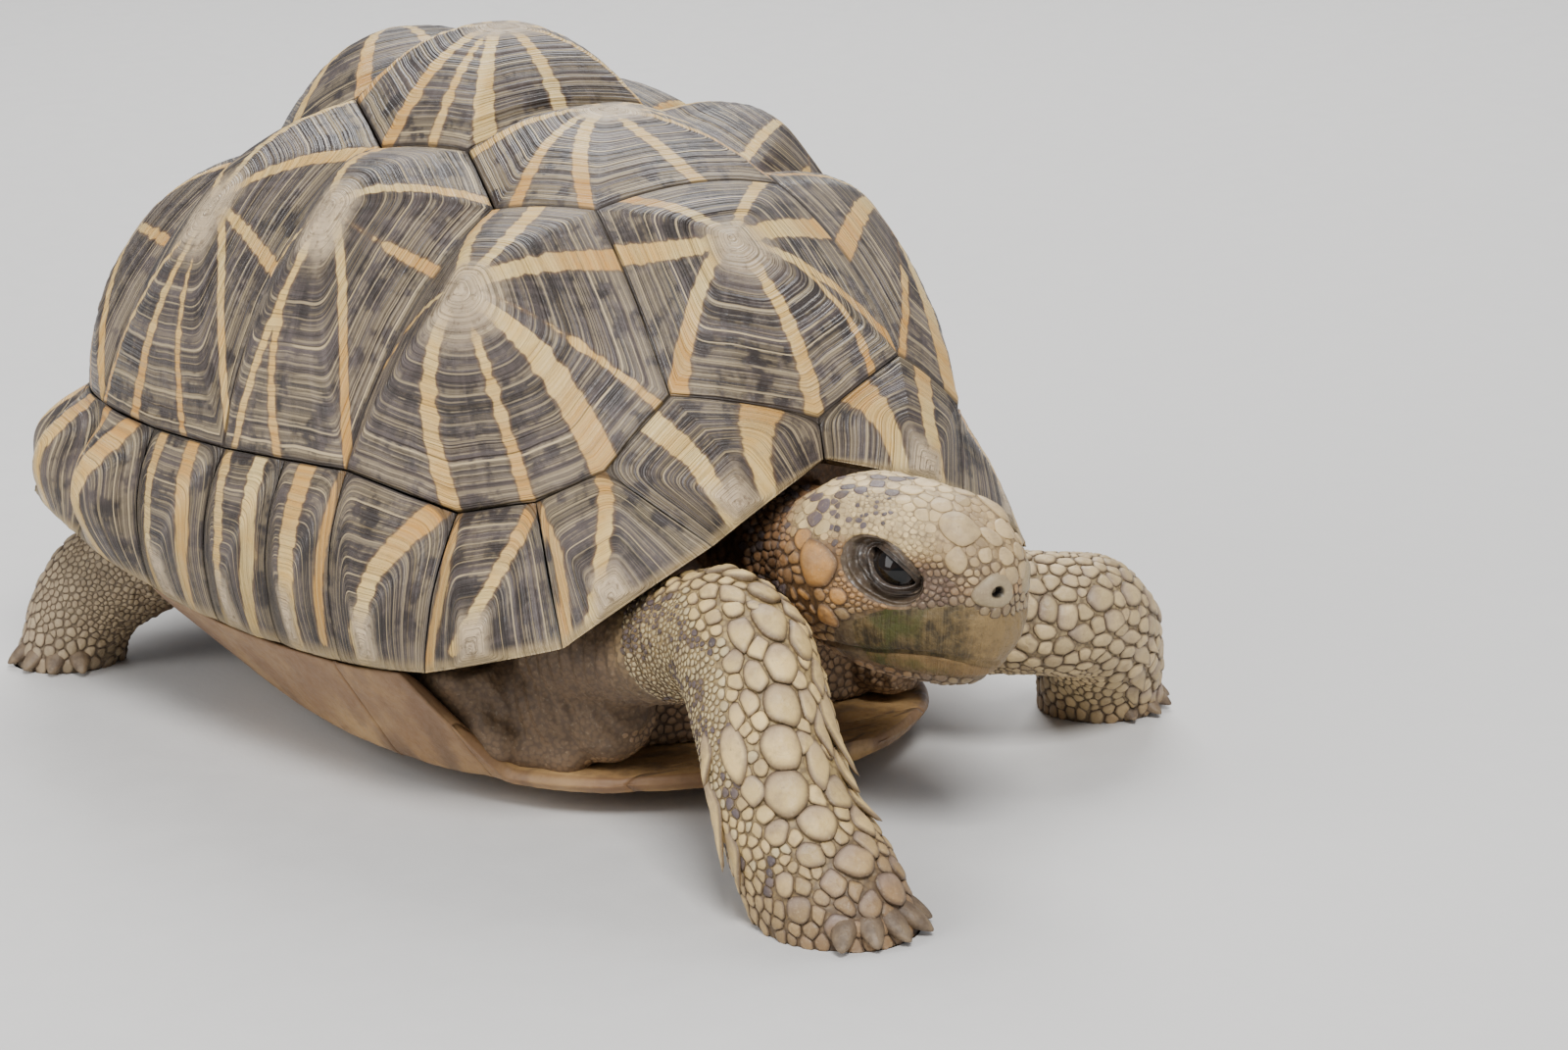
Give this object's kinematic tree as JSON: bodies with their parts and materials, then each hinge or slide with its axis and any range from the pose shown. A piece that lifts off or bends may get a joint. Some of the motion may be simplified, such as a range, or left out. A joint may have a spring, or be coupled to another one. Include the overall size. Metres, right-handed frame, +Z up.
{
  "type": "indian star tortoise",
  "caption": "Indian star tortoise, an adult with a lumpy, high-domed shell of grown-together plates, in mid-step with its head turned to its left.",
  "frame": {"origin": "centre of the footprint's bounding box, on the floor", "axes": "+Z up from the floor the feet stand on, +Y along the body towards the tail, -Y towards the snout, +X to the animal's left"},
  "size_m": [0.2082, 0.3216, 0.1565],
  "materials": {
    "carapace": "horny plates, worn satin, dark with cream rays and fine growth lines",
    "plastron": "horny belly plates, satin, tan with dark rays",
    "skin": "dry scaly skin, cream scales on brown",
    "beak": "horny jaw sheath, worn, olive brown",
    "eye": "wet, nearly black"
  },
  "bodies": {
    "root": {"vertebral_1": "carapace", "vertebral_2": "carapace", "vertebral_3": "carapace", "vertebral_4": "carapace", "vertebral_5": "carapace", "costal_right_1": "carapace", "costal_right_2": "carapace", "costal_right_3": "carapace", "costal_right_4": "carapace", "costal_left_1": "carapace", "costal_left_2": "carapace", "costal_left_3": "carapace", "costal_left_4": "carapace", "marginal_right_1": "carapace", "marginal_right_2": "carapace", "marginal_right_3": "carapace", "marginal_right_4": "carapace", "marginal_right_5": "carapace", "marginal_right_6": "carapace", "marginal_right_7": "carapace", "marginal_right_8": "carapace", "marginal_right_9": "carapace", "marginal_right_10": "carapace", "marginal_right_11": "carapace", "marginal_left_1": "carapace", "marginal_left_2": "carapace", "marginal_left_3": "carapace", "marginal_left_4": "carapace", "marginal_left_5": "carapace", "marginal_left_6": "carapace", "marginal_left_7": "carapace", "marginal_left_8": "carapace", "marginal_left_9": "carapace", "marginal_left_10": "carapace", "marginal_left_11": "carapace", "supracaudal": "carapace", "plastron_gular": "plastron", "plastron_humeral": "plastron", "plastron_pectoral": "plastron", "plastron_abdominal": "plastron", "plastron_femoral": "plastron", "plastron_anal": "plastron", "trunk": "skin", "leg_fore_right": "skin", "leg_fore_left": "skin", "leg_hind_right": "skin", "leg_hind_left": "skin", "tail": "skin", "head": "skin", "neck": "skin", "lower_jaw": "beak", "eye_right": "eye", "eye_left": "eye"}
  },
  "joints": []
}
